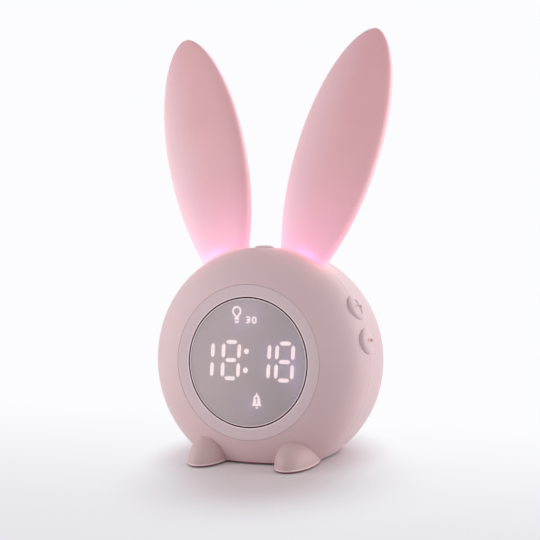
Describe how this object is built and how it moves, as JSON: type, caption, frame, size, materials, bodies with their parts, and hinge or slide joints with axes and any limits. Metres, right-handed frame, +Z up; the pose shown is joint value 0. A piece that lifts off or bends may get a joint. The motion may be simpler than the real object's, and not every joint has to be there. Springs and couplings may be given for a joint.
{
  "type": "bedside alarm clock",
  "caption": "Round pink bedside alarm clock with tall glowing ears, a lit digital face, push keys, small feet, speaker and battery",
  "frame": {"origin": "on the surface the clock stands on, under the centre of its round case", "axes": "+Z up, -Y towards the viewer the face looks at, +X to the viewer's right"},
  "size_m": [0.1206, 0.0795, 0.2021],
  "materials": {
    "pink_shell": "soft pale pink, fine satin",
    "pink_ring": "pale pink, a little smoother than the shells",
    "smoked_window": "smoked clear plastic, lightly polished",
    "dark_gasket": "dark brown",
    "black_film": "grey mask film",
    "white_plastic": "plain white",
    "lit_guide": "milky white, lit from behind",
    "green_board": "green circuit board",
    "led_white": "clear-topped lamps",
    "milky_pink": "translucent milky pink, satin",
    "pink_key": "pale pink",
    "black_plastic": "plain black",
    "ribbon": "white ribbon",
    "socket_steel": "bright plated sleeve",
    "plain_steel": "plated steel",
    "black_paper": "black speaker cone",
    "black_magnet": "black coated magnet",
    "cell_wrap": "silver grey wrap",
    "foam": "grey foam",
    "grip_rubber": "grey grip pad"
  },
  "bodies": {
    "case": {"front_shell": "pink_shell", "rear_shell": "pink_shell", "face_ring": "pink_ring", "display_window": "smoked_window", "window_gasket": "dark_gasket", "mask_film": "black_film", "light_box": "white_plastic", "hour_digits": "lit_guide", "minute_digits": "lit_guide", "colon_dots": "lit_guide", "lamp_symbol": "lit_guide", "timer_mark": "lit_guide", "bell_symbol": "lit_guide", "display_board": "green_board", "display_leds": "led_white", "left_ear": "milky_pink", "right_ear": "milky_pink", "left_ear_board": "green_board", "right_ear_board": "green_board", "left_ear_leds": "led_white", "right_ear_leds": "led_white", "top_switch": "black_plastic", "plus_switch": "black_plastic", "minus_switch": "black_plastic", "set_switch": "black_plastic", "top_key_board": "green_board", "right_key_board": "green_board", "left_key_board": "green_board", "main_board": "green_board", "clock_chip": "black_plastic", "charge_socket": "socket_steel", "display_ribbon": "ribbon", "ribbon_sockets": "white_plastic", "speaker_frame": "plain_steel", "speaker_cone": "black_paper", "speaker_magnet": "black_magnet", "speaker_clamp": "white_plastic", "battery": "cell_wrap", "battery_foam": "foam", "left_foot": "pink_shell", "right_foot": "pink_shell", "grip_pad": "grip_rubber", "case_screws": "plain_steel", "small_screws": "plain_steel"},
    "top_press": {"top_key": "pink_key", "top_plunger": "white_plastic"},
    "plus_press": {"plus_key": "pink_key", "plus_plunger": "white_plastic"},
    "minus_press": {"minus_key": "pink_key", "minus_plunger": "white_plastic"},
    "set_press": {"set_key": "pink_key", "set_plunger": "white_plastic"}
  },
  "joints": [
    {"name": "top_push", "type": "slide", "parent": "case", "child": "top_press", "axis": [0, -0.1219, -0.9925], "range_m": [0, 0.0008], "stiffness_N_per_m": 2200},
    {"name": "plus_push", "type": "slide", "parent": "case", "child": "plus_press", "axis": [-0.9403, -0.0415, -0.3378], "range_m": [0, 0.0008], "stiffness_N_per_m": 2200},
    {"name": "minus_push", "type": "slide", "parent": "case", "child": "minus_press", "axis": [-0.9403, -0.0415, -0.3378], "range_m": [0, 0.0008], "stiffness_N_per_m": 2200},
    {"name": "set_push", "type": "slide", "parent": "case", "child": "set_press", "axis": [0.9403, -0.0415, -0.3378], "range_m": [0, 0.0008], "stiffness_N_per_m": 2200}
  ]
}
